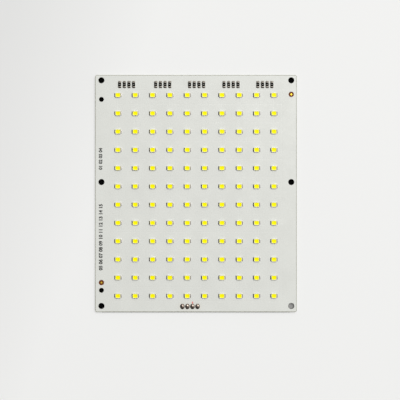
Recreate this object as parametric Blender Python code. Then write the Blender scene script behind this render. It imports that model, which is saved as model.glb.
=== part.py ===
"""LED backlight panel: a glass-epoxy circuit board with a white solder mask that carries
ten columns of twelve mid-power LEDs, five groups of four chip resistors along its top edge
and four soldered leads at its bottom edge.

The board lies with its LEDs up. X is across it, +Y runs to the resistors, +Z is up, and the
origin is under the middle of the board. Sizes are in millimetres until they reach a mesh.
"""

from math import cos, hypot, pi, sin

import bmesh
import bpy
from mathutils import Matrix, Vector

# Circuit board
BOARD_WIDTH = 120.0
BOARD_LENGTH = 141.0
BOARD_THICKNESS = 1.6
BOARD_CORNER_RADIUS = 1.2

# Screw holes: a column of three along each long edge
SCREW_HOLE_DIAMETER = 3.4
SCREW_INSET_LEFT = 3.8
SCREW_INSET_RIGHT = 3.35
SCREW_INSET_TOP = 3.2
SCREW_INSET_BOTTOM = 3.65
SCREW_MIDDLE_FROM_TOP = 63.7

# Locating holes, in line with the screw holes of the left edge
LOCATING_HOLE_DIAMETER = 2.7
LOCATING_FROM_TOP_SCREW = 11.35
LOCATING_FROM_BOTTOM_SCREW = 9.3

# Fiducials: a copper dot in a round opening of the mask
FIDUCIAL_OPENING_DIAMETER = 3.2
FIDUCIAL_DOT_DIAMETER = 1.0
FIDUCIAL_DEPTH = 0.06
FIDUCIAL_DOT_HEIGHT = 0.035
FIDUCIAL_FROM_TOP_SCREW = 8.35
FIDUCIAL_FROM_BOTTOM_SCREW = 13.9

# LED field, whose margins run from the board's edges to the middles of the outer LEDs
LED_COLUMNS = 10
LED_ROWS = 12
LED_MARGIN_SIDE = 13.65
LED_MARGIN_TOP = 12.0
LED_MARGIN_BOTTOM = 9.68

# LED package: a moulded housing with a window, and a solder fillet at each end
LED_LENGTH = 3.3
LED_WIDTH = 2.8
LED_HEIGHT = 0.8
LED_DRAFT = 0.05
LED_RIM_END = 0.2
LED_RIM_SIDE = 0.15
WINDOW_CORNER = 0.34
CATHODE_CORNER = 0.65
WINDOW_DIP = 0.12
LED_FILLET_WIDTH = 2.4
LED_FILLET_HEIGHT = 0.38
LED_FILLET_TOE = 0.48

# Chip resistors, in groups that stand between two LED columns
RESISTOR_GROUP_SHIFTS = (0.05, 0.9, 0.43, 0.27, -0.22)
RESISTORS_PER_GROUP = 4
RESISTOR_PITCH = 2.77
RESISTOR_FROM_TOP = 5.72
RESISTOR_LENGTH = 3.2
RESISTOR_WIDTH = 1.75
RESISTOR_HEIGHT = 0.55
RESISTOR_CAP_LENGTH = 0.5
RESISTOR_CAP_STEP = 0.05
RESISTOR_TOE = 0.58
RESISTOR_TOE_FLARE = 0.15
RESISTOR_TOE_EDGE = 0.06

# Soldered leads: a lead end in a hole, and a dome of solder that fills the hole round it
LEAD_COUNT = 4
LEAD_ROW_SHIFT = -3.6
LEAD_FROM_BOTTOM = 3.33
LEAD_DIAMETER = 0.8
LEAD_ABOVE_BOARD = 0.45
LEAD_TIP_CHAMFER = 0.12
SOLDER_CLEARANCE = 0.05
SOLDER_WALL = 0.15
SOLDER_PAD_RING = 0.65
SOLDER_OVER_LEAD = 0.28
SOLDER_STRETCH = 1.23
SOLDER_FULLNESS = 1.1
SOLDER_GAP = 0.4

# How far a joined shape reaches into the board, and how far a cutter passes its faces
OVERLAP = 0.3

# Sides of the round shapes
CORNER_STEPS = 5
SCREW_HOLE_SIDES = 24
SMALL_HOLE_SIDES = 18
LEAD_SIDES = 14
DOME_STEPS = 5

# Sizes that follow from those above
LEAD_HOLE_DIAMETER = LEAD_DIAMETER + 2 * (SOLDER_WALL + 2 * SOLDER_CLEARANCE)
SOLDER_DIAMETER = LEAD_HOLE_DIAMETER + 2 * SOLDER_PAD_RING
LEAD_PITCH = SOLDER_DIAMETER + SOLDER_GAP

MM = 0.001


def clear_scene():
    for old in list(bpy.data.objects):
        bpy.data.objects.remove(old, do_unlink=True)


def linear(hex_colour):
    """An sRGB colour such as #dcddd6 as linear RGBA."""
    channels = [int(hex_colour[i : i + 2], 16) / 255 for i in (1, 3, 5)]
    straight = [c / 12.92 if c <= 0.04045 else ((c + 0.055) / 1.055) ** 2.4 for c in channels]
    return (*straight, 1.0)


def finish(name, colour, roughness, metallic=0.0):
    material = bpy.data.materials.new(name)
    material.use_nodes = True
    material.diffuse_color = linear(colour)
    shader = material.node_tree.nodes["Principled BSDF"]
    shader.inputs["Base Color"].default_value = linear(colour)
    shader.inputs["Roughness"].default_value = roughness
    shader.inputs["Metallic"].default_value = metallic
    return material


def new_mesh(name, bm, materials):
    """The bmesh, drawn in millimetres, as a mesh in metres."""
    bmesh.ops.scale(bm, vec=(MM, MM, MM), verts=bm.verts)
    mesh = bpy.data.meshes.new(name)
    bm.to_mesh(mesh)
    bm.free()
    for material in materials:
        mesh.materials.append(material)
    shade(mesh)
    return mesh


def shade(mesh):
    """Smooth over the steps of round shapes, sharp at real edges."""
    mesh.shade_smooth()
    mesh.set_sharp_from_angle(angle=pi / 6)


def add_object(name, mesh, place=(0, 0, 0)):
    made = bpy.data.objects.new(name, mesh)
    made.location = Vector(place) * MM
    bpy.context.scene.collection.objects.link(made)
    return made


def add_helper(name, mesh, place=(0, 0, 0)):
    """A shape that only cuts or joins another one."""
    made = add_object(name, mesh, place)
    made.hide_render = True
    made.display_type = "WIRE"
    return made


def add_boolean(target, helper, operation):
    modifier = target.modifiers.new(helper.name, "BOOLEAN")
    modifier.operation = operation
    modifier.solver = "EXACT"
    modifier.material_mode = "TRANSFER"
    modifier.object = helper


def apply_booleans(target):
    """The cut and joined mesh in place of the blank, so that its new edges can be shaded."""
    helpers = [modifier.object for modifier in target.modifiers]
    graph = bpy.context.evaluated_depsgraph_get()
    joined = bpy.data.meshes.new_from_object(target.evaluated_get(graph))
    target.modifiers.clear()
    target.data = joined
    shade(joined)
    for helper in helpers:
        bpy.data.objects.remove(helper, do_unlink=True)


def add_cylinder(bm, place, diameter, low, high, sides):
    at = Matrix.Translation((place[0], place[1], (low + high) / 2))
    return bmesh.ops.create_cone(
        bm,
        cap_ends=True,
        segments=sides,
        radius1=diameter / 2,
        radius2=diameter / 2,
        depth=high - low,
        matrix=at,
    )["verts"]


def repeated(shape, places):
    """One bmesh with a copy of the mesh at each place."""
    bm = bmesh.new()
    for x, y in places:
        before = len(bm.verts)
        bm.from_mesh(shape)
        bm.verts.ensure_lookup_table()
        bmesh.ops.translate(bm, vec=(x, y, 0), verts=bm.verts[before:])
    return bm


def spread(count, first, last):
    """Evenly spaced places from first to last."""
    return [first + (last - first) * i / (count - 1) for i in range(count)]


# Places


def screw_columns():
    return (-BOARD_WIDTH / 2 + SCREW_INSET_LEFT, BOARD_WIDTH / 2 - SCREW_INSET_RIGHT)


def screw_rows():
    top = BOARD_LENGTH / 2 - SCREW_INSET_TOP
    middle = BOARD_LENGTH / 2 - SCREW_MIDDLE_FROM_TOP
    bottom = -BOARD_LENGTH / 2 + SCREW_INSET_BOTTOM
    return (top, middle, bottom)


def screw_places():
    return [(x, y) for x in screw_columns() for y in screw_rows()]


def locating_places():
    left, _ = screw_columns()
    top, _, bottom = screw_rows()
    return [(left, top - LOCATING_FROM_TOP_SCREW), (left, bottom + LOCATING_FROM_BOTTOM_SCREW)]


def fiducial_places():
    left, right = screw_columns()
    top, _, bottom = screw_rows()
    return [(right, top - FIDUCIAL_FROM_TOP_SCREW), (left, bottom + FIDUCIAL_FROM_BOTTOM_SCREW)]


def led_columns():
    side = BOARD_WIDTH / 2 - LED_MARGIN_SIDE
    return spread(LED_COLUMNS, -side, side)


def led_rows():
    top = BOARD_LENGTH / 2 - LED_MARGIN_TOP
    bottom = -BOARD_LENGTH / 2 + LED_MARGIN_BOTTOM
    return spread(LED_ROWS, top, bottom)


def led_places():
    return [(x, y) for y in led_rows() for x in led_columns()]


def resistor_places():
    """Name and place of each resistor, from the left."""
    columns = led_columns()
    middle = (RESISTORS_PER_GROUP - 1) / 2
    y = BOARD_LENGTH / 2 - RESISTOR_FROM_TOP
    places = []
    for group, shift in enumerate(RESISTOR_GROUP_SHIFTS):
        centre = (columns[2 * group] + columns[2 * group + 1]) / 2 + shift
        for i in range(RESISTORS_PER_GROUP):
            name = f"resistor_{group + 1}_{i + 1}"
            places.append((name, centre + (i - middle) * RESISTOR_PITCH, y))
    return places


def lead_places():
    middle = (LEAD_COUNT - 1) / 2
    y = -BOARD_LENGTH / 2 + LEAD_FROM_BOTTOM
    return [(LEAD_ROW_SHIFT + (i - middle) * LEAD_PITCH, y) for i in range(LEAD_COUNT)]


# Circuit board


def board_blank(mask, laminate):
    """A plate with rounded corners, whose edges show the laminate under the mask."""
    bm = bmesh.new()
    bmesh.ops.create_grid(bm, x_segments=1, y_segments=1, size=0.5)
    bmesh.ops.scale(bm, vec=(BOARD_WIDTH, BOARD_LENGTH, 1), verts=bm.verts)
    bmesh.ops.bevel(
        bm,
        geom=list(bm.verts),
        offset=BOARD_CORNER_RADIUS,
        offset_type="OFFSET",
        segments=CORNER_STEPS,
        profile=0.5,
        affect="VERTICES",
        material=-1,
    )
    grown = bmesh.ops.extrude_face_region(bm, geom=list(bm.faces))["geom"]
    raised = [item for item in grown if isinstance(item, bmesh.types.BMVert)]
    bmesh.ops.translate(bm, vec=(0, 0, BOARD_THICKNESS), verts=raised)
    bmesh.ops.recalc_face_normals(bm, faces=bm.faces)
    for face in bm.faces:
        face.material_index = 0 if abs(face.normal.z) > 0.5 else 1
    return add_object("circuit_board", new_mesh("circuit_board", bm, [mask, laminate]))


def hole_cutters(laminate):
    bm = bmesh.new()
    low = -OVERLAP
    high = BOARD_THICKNESS + OVERLAP
    for place in screw_places():
        add_cylinder(bm, place, SCREW_HOLE_DIAMETER, low, high, SCREW_HOLE_SIDES)
    for place in locating_places():
        add_cylinder(bm, place, LOCATING_HOLE_DIAMETER, low, high, SMALL_HOLE_SIDES)
    for place in lead_places():
        add_cylinder(bm, place, LEAD_HOLE_DIAMETER, low, high, LEAD_SIDES)
    return add_helper("hole_cutters", new_mesh("hole_cutters", bm, [laminate]))


def mask_openings(laminate):
    bm = bmesh.new()
    low = BOARD_THICKNESS - FIDUCIAL_DEPTH
    high = BOARD_THICKNESS + OVERLAP
    for place in fiducial_places():
        add_cylinder(bm, place, FIDUCIAL_OPENING_DIAMETER, low, high, SMALL_HOLE_SIDES)
    return add_helper("mask_openings", new_mesh("mask_openings", bm, [laminate]))


def copper_dots(copper):
    bm = bmesh.new()
    floor = BOARD_THICKNESS - FIDUCIAL_DEPTH
    low = floor - OVERLAP
    high = floor + FIDUCIAL_DOT_HEIGHT
    for place in fiducial_places():
        add_cylinder(bm, place, FIDUCIAL_DOT_DIAMETER, low, high, LEAD_SIDES)
    return add_helper("copper_dots", new_mesh("copper_dots", bm, [copper]))


# LED packages, which the board carries as one solid with it


def bevel_corners(bm, corners, offset):
    bmesh.ops.bevel(
        bm,
        geom=corners,
        offset=offset,
        offset_type="OFFSET",
        segments=1,
        profile=0.5,
        affect="VERTICES",
        material=-1,
    )


def led_housing():
    """A drafted block, with a window whose lower left corner is cut to mark the cathode."""
    bm = bmesh.new()
    block = bmesh.ops.create_cube(bm, size=1)["verts"]
    bmesh.ops.scale(bm, vec=(LED_LENGTH, LED_WIDTH, LED_HEIGHT + OVERLAP), verts=block)
    bmesh.ops.translate(bm, vec=(0, 0, (LED_HEIGHT - OVERLAP) / 2), verts=block)
    top = max(bm.faces, key=lambda face: face.calc_center_median().z)
    drafted = (1 - 2 * LED_DRAFT / LED_LENGTH, 1 - 2 * LED_DRAFT / LED_WIDTH, 1)
    bmesh.ops.scale(bm, vec=drafted, verts=top.verts)

    # What an inset of the top leaves is the rim, and what it encloses becomes the window
    bmesh.ops.inset_region(bm, faces=[top], thickness=LED_RIM_SIDE, use_even_offset=True)
    length = LED_LENGTH - 2 * (LED_DRAFT + LED_RIM_END)
    squeezed = length / (LED_LENGTH - 2 * (LED_DRAFT + LED_RIM_SIDE))
    bmesh.ops.scale(bm, vec=(squeezed, 1, 1), verts=top.verts)
    cathode = min(top.verts, key=lambda vert: vert.co.x + vert.co.y)
    others = [vert for vert in top.verts if vert is not cathode]
    bevel_corners(bm, [cathode], CATHODE_CORNER)
    bevel_corners(bm, others, WINDOW_CORNER)

    # The encapsulant wets the rim and dips to the middle of the window
    window = max(bm.faces, key=lambda face: len(face.verts))
    window.material_index = 1
    bmesh.ops.poke(bm, faces=[window], offset=-WINDOW_DIP)
    return bm


def led_fillets():
    """A low bar under the housing, whose sloping ends are the solder fillets."""
    bm = bmesh.new()
    bar = bmesh.ops.create_cube(bm, size=1)["verts"]
    bmesh.ops.scale(
        bm, vec=(LED_LENGTH, LED_FILLET_WIDTH, LED_FILLET_HEIGHT + OVERLAP), verts=bar
    )
    bmesh.ops.translate(bm, vec=(0, 0, (LED_FILLET_HEIGHT - OVERLAP) / 2), verts=bar)
    inner = LED_LENGTH / 2 - LED_DRAFT
    slope = (LED_LENGTH / 2 + LED_FILLET_TOE - inner) / LED_FILLET_HEIGHT
    for vert in bar:
        reach = inner + slope * (LED_FILLET_HEIGHT - vert.co.z)
        vert.co.x = reach if vert.co.x > 0 else -reach
    return bm


def add_leds(board, housing, phosphor, tin):
    shapes = (
        ("led_housings", led_housing(), [housing, phosphor]),
        ("led_fillets", led_fillets(), [tin]),
    )
    for name, bm, materials in shapes:
        shape = bpy.data.meshes.new(name)
        bm.to_mesh(shape)
        bm.free()
        mesh = new_mesh(name, repeated(shape, led_places()), materials)
        helper = add_helper(name, mesh, (0, 0, BOARD_THICKNESS))
        add_boolean(board, helper, "UNION")


# Chip resistors


def resistor_sections():
    """Distance from the middle, width and height of each section of one half, from its toe."""
    end = RESISTOR_LENGTH / 2
    inner = end - RESISTOR_CAP_LENGTH
    wide = RESISTOR_WIDTH + 2 * RESISTOR_TOE_FLARE
    between = RESISTOR_WIDTH + RESISTOR_TOE_FLARE
    sunk = RESISTOR_HEIGHT - RESISTOR_CAP_STEP
    hollow = RESISTOR_TOE_EDGE + (RESISTOR_HEIGHT - RESISTOR_TOE_EDGE) / 4
    return [
        (end + RESISTOR_TOE, wide, RESISTOR_TOE_EDGE),
        (end + RESISTOR_TOE / 3, between, hollow),
        (end, RESISTOR_WIDTH, RESISTOR_HEIGHT),
        (inner, RESISTOR_WIDTH, RESISTOR_HEIGHT),
        (inner - RESISTOR_CAP_STEP, RESISTOR_WIDTH - 2 * RESISTOR_CAP_STEP, sunk),
    ]


def resistor_mesh(tin, overcoat):
    """A ceramic chip with an end cap and a hollow solder fillet at each end, lofted along Y."""
    bm = bmesh.new()
    half = resistor_sections()
    sections = half + [(-y, width, height) for y, width, height in reversed(half)]
    rings = []
    for y, width, height in sections:
        corners = ((-1, 0), (1, 0), (1, 1), (-1, 1))
        rings.append([bm.verts.new((x * width / 2, y, z * height)) for x, z in corners])
    for near, far in zip(rings, rings[1:]):
        for i in range(len(near)):
            j = (i + 1) % len(near)
            bm.faces.new((near[i], near[j], far[j], far[i]))
    bm.faces.new(rings[0])
    bm.faces.new(rings[-1])
    bmesh.ops.recalc_face_normals(bm, faces=bm.faces)
    for face in bm.faces:
        body = abs(face.calc_center_median().y) < RESISTOR_LENGTH / 2 - RESISTOR_CAP_LENGTH
        face.material_index = 1 if body else 0
    return new_mesh("chip_resistor", bm, [tin, overcoat])


def add_resistors(tin, overcoat):
    mesh = resistor_mesh(tin, overcoat)
    for name, x, y in resistor_places():
        add_object(name, mesh, (x, y, BOARD_THICKNESS))


# Soldered leads


def lead_mesh(copper):
    """A round lead end, cut off flush with the underside and chamfered at its tip."""
    bm = bmesh.new()
    tip = BOARD_THICKNESS + LEAD_ABOVE_BOARD
    add_cylinder(bm, (0, 0), LEAD_DIAMETER, 0, tip, LEAD_SIDES)
    top = max(bm.faces, key=lambda face: face.calc_center_median().z)
    bmesh.ops.bevel(
        bm,
        geom=list(top.edges),
        offset=LEAD_TIP_CHAMFER,
        offset_type="OFFSET",
        segments=1,
        profile=0.5,
        affect="EDGES",
        material=-1,
    )
    return new_mesh("lead_end", bm, [copper])


def solder_profile():
    """Radius and height from the dome's crown, down its skin and the hole, to the lead's bore."""
    bore = LEAD_DIAMETER / 2 + SOLDER_CLEARANCE
    ceiling = BOARD_THICKNESS + LEAD_ABOVE_BOARD + SOLDER_CLEARANCE
    crown = ceiling + SOLDER_OVER_LEAD - BOARD_THICKNESS
    profile = []
    for i in range(DOME_STEPS + 1):
        turn = pi / 2 * (1 - i / DOME_STEPS)
        radius = SOLDER_DIAMETER / 2 * cos(turn) ** SOLDER_FULLNESS
        profile.append((radius if i else 0, BOARD_THICKNESS + crown * sin(turn)))
    in_hole = LEAD_HOLE_DIAMETER / 2 - SOLDER_CLEARANCE
    profile += [(in_hole, BOARD_THICKNESS), (in_hole, 0), (bore, 0), (bore, ceiling)]
    return [*profile, (0, ceiling)]


def solder_mesh(solder):
    """The profile turned about the lead, with the dome stretched along the board."""
    bm = bmesh.new()
    points = [bm.verts.new((radius, 0, z)) for radius, z in solder_profile()]
    edges = [bm.edges.new(pair) for pair in zip(points, points[1:])]
    bmesh.ops.spin(
        bm,
        geom=points + edges,
        cent=(0, 0, 0),
        axis=(0, 0, 1),
        angle=2 * pi,
        steps=SMALL_HOLE_SIDES,
        use_merge=True,
    )
    bmesh.ops.remove_doubles(bm, verts=bm.verts, dist=0.0001)
    bmesh.ops.recalc_face_normals(bm, faces=bm.faces)
    outside = SOLDER_DIAMETER / 2 - SOLDER_PAD_RING / 2
    for vert in bm.verts:
        if vert.co.z > BOARD_THICKNESS + SOLDER_CLEARANCE or hypot(vert.co.x, vert.co.y) > outside:
            vert.co.y *= SOLDER_STRETCH
    return new_mesh("solder_joint", bm, [solder])


def add_leads(copper, solder):
    lead = lead_mesh(copper)
    joint = solder_mesh(solder)
    for i, (x, y) in enumerate(lead_places(), start=1):
        add_object(f"lead_end_{i}", lead, (x, y, 0))
        add_object(f"solder_joint_{i}", joint, (x, y, 0))


def main():
    clear_scene()
    mask = finish("white_solder_mask", "#dcddd6", 0.35)
    laminate = finish("glass_epoxy", "#8a7a4a", 0.6)
    copper = finish("gilt_copper", "#d9a94a", 0.3, 1.0)
    housing = finish("led_housing", "#efeee6", 0.45)
    phosphor = finish("led_phosphor", "#f5ea12", 0.4)
    tin = finish("tinned_end", "#a8a49b", 0.35, 1.0)
    overcoat = finish("resistor_overcoat", "#24211c", 0.4)
    solder = finish("solder", "#8f8c86", 0.2, 1.0)

    board = board_blank(mask, laminate)
    add_boolean(board, hole_cutters(laminate), "DIFFERENCE")
    add_boolean(board, mask_openings(laminate), "DIFFERENCE")
    add_boolean(board, copper_dots(copper), "UNION")
    add_leds(board, housing, phosphor, tin)
    apply_booleans(board)
    add_resistors(tin, overcoat)
    add_leads(copper, solder)


main()
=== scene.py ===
# %% [markdown]
# LED backlight panel
#
# A backlight panel is a circuit board that carries a grid of small LEDs. The board is a sheet
# of glass cloth in epoxy, covered with a white solder mask that throws stray light back out.
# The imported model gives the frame: where the board, the resistors and the soldered leads are.
# This lesson dresses that frame, one piece and one finish at a time.

# %% Load the frame
import math

import bmesh
import bpy
from mathutils import Matrix, Vector


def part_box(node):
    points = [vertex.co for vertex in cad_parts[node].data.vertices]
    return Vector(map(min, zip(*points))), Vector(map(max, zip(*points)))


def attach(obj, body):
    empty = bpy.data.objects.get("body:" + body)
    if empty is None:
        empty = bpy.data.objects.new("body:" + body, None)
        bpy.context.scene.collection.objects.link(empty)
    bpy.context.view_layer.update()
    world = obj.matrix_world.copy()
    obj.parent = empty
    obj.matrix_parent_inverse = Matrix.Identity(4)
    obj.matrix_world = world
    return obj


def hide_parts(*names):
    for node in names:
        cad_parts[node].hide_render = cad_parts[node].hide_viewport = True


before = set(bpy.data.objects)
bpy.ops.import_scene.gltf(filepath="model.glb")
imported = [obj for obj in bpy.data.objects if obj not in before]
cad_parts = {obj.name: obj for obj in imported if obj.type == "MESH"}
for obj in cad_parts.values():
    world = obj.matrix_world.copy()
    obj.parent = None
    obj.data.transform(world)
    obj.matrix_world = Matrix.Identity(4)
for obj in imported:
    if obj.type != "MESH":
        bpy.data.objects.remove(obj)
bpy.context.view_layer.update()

# %% [markdown]
# Sizes
#
# Small electronics are drawn in millimetres, and Blender counts in metres, so every size below
# is in millimetres and one factor takes it to metres when a mesh is finished. The board's
# outline comes from the frame. Its upper face is where the resistors stand.

# %% Sizes of the board
MM = 0.001
board_low, board_high = (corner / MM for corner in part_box("circuit_board"))
BOARD_WIDTH = board_high.x - board_low.x
BOARD_LENGTH = board_high.y - board_low.y
BOARD_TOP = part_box("resistor_1_1")[0].z / MM
CORNER_RADIUS = 1.2
MASK_GAP = 0.3
EDGE_BEVEL = 0.15
print("board", round(BOARD_WIDTH, 1), "by", round(BOARD_LENGTH, 1), "by", round(BOARD_TOP, 2), "mm")

# %% [markdown]
# Six screw holes stand in two columns down the long edges. The two smaller locating holes and
# the two fiducials lie in the same columns, so each is one distance from a screw hole.

# %% Places of the holes
SCREW_HOLE = 3.4
SCREW_FROM_LEFT = 3.8
SCREW_FROM_RIGHT = 3.35
SCREW_FROM_TOP = 3.2
SCREW_FROM_BOTTOM = 3.65
MIDDLE_SCREW_FROM_TOP = 63.7
LOCATING_HOLE = 2.7
LOCATING_BELOW_SCREW = 11.35
LOCATING_ABOVE_SCREW = 9.3
FIDUCIAL_BELOW_SCREW = 8.35
FIDUCIAL_ABOVE_SCREW = 13.9

screw_left = board_low.x + SCREW_FROM_LEFT
screw_right = board_high.x - SCREW_FROM_RIGHT
screw_top = board_high.y - SCREW_FROM_TOP
screw_middle = board_high.y - MIDDLE_SCREW_FROM_TOP
screw_bottom = board_low.y + SCREW_FROM_BOTTOM
screw_rows = (screw_top, screw_middle, screw_bottom)
screw_places = [(x, y) for x in (screw_left, screw_right) for y in screw_rows]
locating_places = [
    (screw_left, screw_top - LOCATING_BELOW_SCREW),
    (screw_left, screw_bottom + LOCATING_ABOVE_SCREW),
]
fiducial_places = [
    (screw_right, screw_top - FIDUCIAL_BELOW_SCREW),
    (screw_left, screw_bottom + FIDUCIAL_ABOVE_SCREW),
]
print(len(screw_places), "screw holes,", len(locating_places), "locating holes")

# %% [markdown]
# The LEDs stand on a plain grid, so two margins and two counts place all of them. The leads'
# places come from the middle of each CAD node's box.

# %% Places of the parts on the board
LED_COLUMNS = 10
LED_ROWS = 12
LED_SIDE_MARGIN = 13.65
LED_TOP_MARGIN = 12.0
LED_BOTTOM_MARGIN = 9.68


def spread(count, first, last):
    return [first + (last - first) * i / (count - 1) for i in range(count)]


def node_middle(node):
    low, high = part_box(node)
    return (low + high) / 2 / MM


led_columns = spread(LED_COLUMNS, board_low.x + LED_SIDE_MARGIN, board_high.x - LED_SIDE_MARGIN)
led_rows = spread(LED_ROWS, board_high.y - LED_TOP_MARGIN, board_low.y + LED_BOTTOM_MARGIN)
led_places = [(x, y) for y in led_rows for x in led_columns]
led_pitch = (led_columns[1] - led_columns[0], led_rows[0] - led_rows[1])
resistor_nodes = sorted(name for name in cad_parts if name.startswith("resistor"))
solder_nodes = sorted(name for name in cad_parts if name.startswith("solder_joint"))
lead_nodes = sorted(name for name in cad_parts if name.startswith("lead_end"))
lead_places = [node_middle(name) for name in lead_nodes]
print(len(led_places), "LEDs,", len(resistor_nodes), "resistors,", len(lead_nodes), "leads")

# %% [markdown]
# Colours and nodes
#
# A colour is easiest to read as the hex value that a paint program shows. Shaders work in
# linear light, so one function turns the one into the other. A second function adds a shader
# node with its settings and links, and every material is built from it.

# %% Colour and node helpers
def linear(hex_colour):
    channels = [int(hex_colour[i : i + 2], 16) / 255 for i in (1, 3, 5)]
    return (*[c / 12.92 if c <= 0.04045 else ((c + 0.055) / 1.055) ** 2.4 for c in channels], 1)


def add_node(tree, kind, inputs=None, **settings):
    node = tree.nodes.new("ShaderNode" + kind)
    for name, value in settings.items():
        setattr(node, name, value)
    for socket, value in (inputs or {}).items():
        if isinstance(value, bpy.types.NodeSocket):
            tree.links.new(value, node.inputs[socket])
        else:
            node.inputs[socket].default_value = value
    return node


def new_material(name, **shader_values):
    """A material, its node tree and its Principled shader, with the plain values set."""
    material = bpy.data.materials.new(name)
    material.use_nodes = True
    tree = material.node_tree
    shader = tree.nodes["Principled BSDF"]
    for socket, value in shader_values.items():
        shader.inputs[socket.replace("_", " ").title().replace("Ior", "IOR")].default_value = value
    return material, tree, shader


print("colour and node helpers ready")

# %% [markdown]
# A pattern is measured in millimetres on the object itself, so a grain keeps its real size.
# Each helper below adds one common step of a pattern.

# %% Pattern helpers
def object_millimetres(tree):
    """Object coordinates, counted in millimetres."""
    place = add_node(tree, "TexCoord").outputs["Object"]
    return add_node(tree, "VectorMath", {0: place, 3: 1 / MM}, operation="SCALE").outputs[0]


def noise_of(tree, place, grain, detail=2.0):
    """Noise whose lumps are about grain millimetres wide."""
    made = add_node(tree, "TexNoise", {"Vector": place, "Scale": 1 / grain, "Detail": detail})
    return made.outputs["Fac"]


def blend_colours(tree, factor, first, second):
    made = add_node(tree, "Mix", {0: factor, 6: first, 7: second}, data_type="RGBA")
    return made.outputs[2]


def ranged(tree, value, low, high, to_low, to_high):
    made = add_node(
        tree, "MapRange", {0: value, 1: low, 2: high, 3: to_low, 4: to_high}, clamp=True
    )
    return made.outputs[0]


NOISE_RANGE = (0.3, 0.7)  # nearly all of a noise lies in it
NARROW_RANGE = (0.35, 0.65)  # cuts a little off, for clearer patches


def mottle(tree, place, grain):
    """Noise stretched so that its usual range fills 0 to 1."""
    return ranged(tree, noise_of(tree, place, grain, 3.0), *NOISE_RANGE, 0.0, 1.0)


def calculate(tree, operation, first, second=0.0):
    return add_node(tree, "Math", {0: first, 1: second}, operation=operation).outputs[0]


def bump_from(tree, shader, height, depth):
    """Depth is the relief's, in millimetres, where height goes from 0 to 1."""
    made = add_node(tree, "Bump", {"Height": height, "Distance": depth * MM, "Strength": 1.0})
    tree.links.new(made.outputs[0], shader.inputs["Normal"])


def mottled_finish(name, pale, dark, grain, depth, **shader_values):
    """A finish of two close colours, mottled and a little rough at the grain's size."""
    material, tree, shader = new_material(name, **shader_values)
    speckle = mottle(tree, object_millimetres(tree), grain)
    colour = blend_colours(tree, speckle, linear(pale), linear(dark))
    tree.links.new(colour, shader.inputs["Base Color"])
    bump_from(tree, shader, speckle, depth)
    return material


print("pattern helpers ready")

# %% [markdown]
# White solder mask
#
# The mask is a photo-cured epoxy ink, about 0.03 mm thick, loaded with titanium dioxide. It is
# an off-white with a soft gloss. It follows the copper below it, so the gaps that part the
# copper show as faint grooves: one under each LED column, one between the rows and one round
# the whole field. Fine orange peel from the spraying breaks up the gloss. Flux leaves a faint
# amber stain where the leads were soldered by hand.

# %% Copper below the mask
COPPER_GAP = 0.35
COPPER_EDGES = (4.8, 2.9)
GAP_SLOPE = (0.35, 0.65)
FIELD_BLUR = 0.05
PITCHES_AWAY = 40


def gap_between(tree, along, origin, pitch):
    """1 in the gap between two copper areas, 0 on the copper, for gaps a pitch apart."""
    # Measured from so far away that no place on the board is below nought
    start = origin - pitch / 2 - pitch * PITCHES_AWAY
    wrapped = calculate(tree, "MODULO", calculate(tree, "SUBTRACT", along, start), pitch)
    off = calculate(tree, "ABSOLUTE", calculate(tree, "SUBTRACT", wrapped, pitch / 2))
    return ranged(tree, off, COPPER_GAP * GAP_SLOPE[0], COPPER_GAP * GAP_SLOPE[1], 1.0, 0.0)


def inside(tree, split, margin):
    """1 over the copper field grown by a margin, 0 outside it."""
    both = None
    for axis, spots, edge in ((0, led_columns, COPPER_EDGES[0]), (1, led_rows, COPPER_EDGES[1])):
        middle = (max(spots) + min(spots)) / 2
        reach = (max(spots) - min(spots)) / 2 + edge + margin
        off = calculate(tree, "ABSOLUTE", calculate(tree, "SUBTRACT", split[axis], middle))
        near = ranged(tree, off, reach - FIELD_BLUR, reach + FIELD_BLUR, 1.0, 0.0)
        both = near if both is None else calculate(tree, "MULTIPLY", both, near)
    return both


def copper_grooves(tree, split):
    """1 in every groove: between the copper areas and round the whole field."""
    columns = gap_between(tree, split[0], led_columns[0], led_pitch[0])
    between_rows = gap_between(tree, split[1], led_rows[0] - led_pitch[1] / 2, led_pitch[1])
    gaps = calculate(tree, "MAXIMUM", columns, between_rows)
    field = inside(tree, split, 0.0)
    within = calculate(tree, "MULTIPLY", gaps, field)
    around = calculate(tree, "SUBTRACT", inside(tree, split, COPPER_GAP), field)
    return calculate(tree, "MAXIMUM", within, around)


print("grooves every", round(led_pitch[0], 2), "mm across and", round(led_pitch[1], 2), "mm along")

# %% [markdown]
# The flux stain fades with the distance from the row of leads, which is the distance from a
# short line. Noise makes its edge ragged.

# %% Flux stain
STAIN_STRENGTH = 0.13
STAIN_CORE = 1.0
STAIN_REACH = 3.4
STAIN_LUMPS = 1.6


def flux_stain(tree, place, split):
    middle = sum(lead_places, Vector()) / len(lead_places)
    half_row = (lead_places[-1].x - lead_places[0].x) / 2
    beside = calculate(tree, "ABSOLUTE", calculate(tree, "SUBTRACT", split[0], middle.x))
    past_end = calculate(tree, "MAXIMUM", calculate(tree, "SUBTRACT", beside, half_row), 0.0)
    off_row = calculate(tree, "SUBTRACT", split[1], middle.y)
    squares = calculate(
        tree,
        "ADD",
        calculate(tree, "MULTIPLY", past_end, past_end),
        calculate(tree, "MULTIPLY", off_row, off_row),
    )
    distance = calculate(tree, "SQRT", squares)
    lumps = ranged(tree, noise_of(tree, place, STAIN_LUMPS), 0, 1, -1, 1)
    ragged = calculate(tree, "ADD", distance, lumps)
    return ranged(tree, ragged, STAIN_CORE, STAIN_REACH, STAIN_STRENGTH, 0.0)


print("the stain reaches", STAIN_REACH, "mm")

# %% [markdown]
# All of this meets in one material. Broad soft clouds and the grain of the pigment set its
# tone, the stain tints it, and the orange peel less the grooves gives its relief.

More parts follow.
